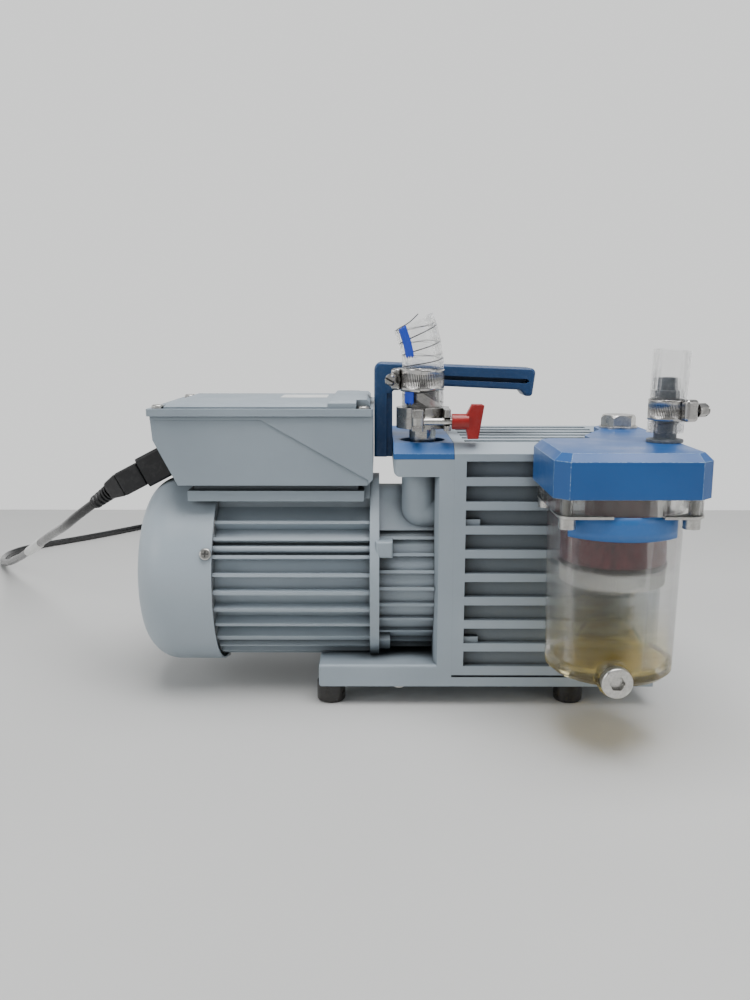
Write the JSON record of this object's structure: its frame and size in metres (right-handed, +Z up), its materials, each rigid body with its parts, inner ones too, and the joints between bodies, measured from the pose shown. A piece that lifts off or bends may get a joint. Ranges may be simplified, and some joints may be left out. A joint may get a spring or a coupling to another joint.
{
  "type": "rotary vane vacuum pump",
  "caption": "Oil-sealed rotary vane vacuum pump: finned motor, ribbed oil case, flanged inlet with hose, exhaust oil-mist filter, top handle and detachable mains lead.",
  "frame": {"origin": "centre of the four rubber feet, on the surface they stand on; x = 0 is also the face where the frame casting meets the oil case", "axes": "+X along the shaft from the motor's fan to the oil case, +Y to the back, away from the filter pot, +Z up"},
  "size_m": [0.6337, 0.7235, 0.2672],
  "materials": {
    "casting_paint": "satin, fine texture",
    "motor_paint": "satin, fine texture",
    "box_paint": "satin, textured",
    "filter_blue": "satin, textured",
    "inlet_blue": "satin",
    "handle_blue": "satin, moulded",
    "knob_red": "gloss",
    "screw_steel": "zinc plated",
    "stainless": "polished",
    "cast_clamp": "as cast",
    "bare_aluminium": "machined",
    "retainer_steel": "stamped",
    "pump_iron": "ground",
    "vane_composite": "matt",
    "spring_steel": "ground",
    "lamination_steel": "matt",
    "winding_copper": "varnished",
    "hub_alloy": "machined",
    "fan_plastic": "matt",
    "black_rubber": "matt",
    "clear_hose": "soft clear vinyl",
    "pot_plastic": "clear, slightly yellowed",
    "clear_cap": "clear",
    "sight_glass": "clear",
    "filter_media": "fibrous",
    "black_plastic": "satin",
    "switch_plastic": "gloss",
    "capacitor_case": "satin",
    "cord_sheath": "glossy vinyl"
  },
  "bodies": {
    "root": {"catch_pot": "pot_plastic", "clamp_halves": "cast_clamp", "cord_coil": "cord_sheath", "cross_head_screws": "screw_steel", "drain_screw": "bare_aluminium", "element_cap": "clear_cap", "element_seal": "black_rubber", "end_cover": "casting_paint", "exhaust_valve": "spring_steel", "fan_cover": "motor_paint", "filter_element": "filter_media", "filter_head": "filter_blue", "frame_casting": "casting_paint", "front_end_shield": "bare_aluminium", "handle": "handle_blue", "head_bolt": "screw_steel", "hose_adapter": "stainless", "inlet_cover_plate": "inlet_blue", "inlet_hose": "clear_hose", "inlet_hose_clamp": "stainless", "inlet_port": "stainless", "inlet_seal_ring": "black_rubber", "mains_connector": "black_plastic", "mains_cord": "cord_sheath", "mains_inlet": "black_plastic", "mains_plug": "black_plastic", "motor_bearings": "spring_steel", "motor_housing": "motor_paint", "oil_case": "casting_paint", "oil_plugs": "bare_aluminium", "oil_sight_glass": "sight_glass", "outlet_hose": "clear_hose", "outlet_hose_clamp": "stainless", "outlet_nozzle": "black_plastic", "pot_bolts": "screw_steel", "pump_cylinders": "pump_iron", "pump_plates": "pump_iron", "rear_end_shield": "bare_aluminium", "retaining_plates": "retainer_steel", "rubber_feet": "black_rubber", "run_capacitor": "capacitor_case", "shaft_seal": "black_rubber", "socket_head_screws": "screw_steel", "stator_core": "lamination_steel", "stator_windings": "winding_copper", "terminal_box": "box_paint", "terminal_box_base": "box_paint", "terminal_box_lid": "box_paint", "tie_rods": "motor_paint"},
    "shaft_train": {"motor_shaft": "spring_steel", "rotor_core": "lamination_steel", "cooling_fan": "fan_plastic", "coupling_hubs": "hub_alloy", "coupling_spider": "black_rubber", "pump_rotor": "pump_iron", "pump_vanes": "vane_composite"},
    "clamp_bolt": {"swing_bolt": "screw_steel"},
    "clamp_nut": {"wing_nut": "knob_red"},
    "switch": {"switch_rocker": "switch_plastic"},
    "ballast": {"gas_ballast_knob": "knob_red"}
  },
  "joints": [
    {"name": "shaft_spin", "type": "hinge", "parent": "root", "child": "shaft_train", "pos_m": [-0.11, 0, 0.0825], "axis": [1, 0, 0], "continuous": true},
    {"name": "clamp_bolt_swing", "type": "hinge", "parent": "root", "child": "clamp_bolt", "pos_m": [-0.024, -0.061, 0.1965], "axis": [0, 0, 1], "range_deg": [-90, 0]},
    {"name": "clamp_nut_turn", "type": "hinge", "parent": "clamp_bolt", "child": "clamp_nut", "pos_m": [0.005, -0.061, 0.1965], "axis": [1, 0, 0], "continuous": true},
    {"name": "switch_rock", "type": "hinge", "parent": "root", "child": "switch", "pos_m": [-0.1947, 0.034, 0.16798], "axis": [0, 1, 0], "range_deg": [-14, 0]},
    {"name": "ballast_turn", "type": "hinge", "parent": "root", "child": "ballast", "pos_m": [0.14, 0.025, 0.108], "axis": [1, 0, 0], "range_deg": [0, 180]}
  ]
}
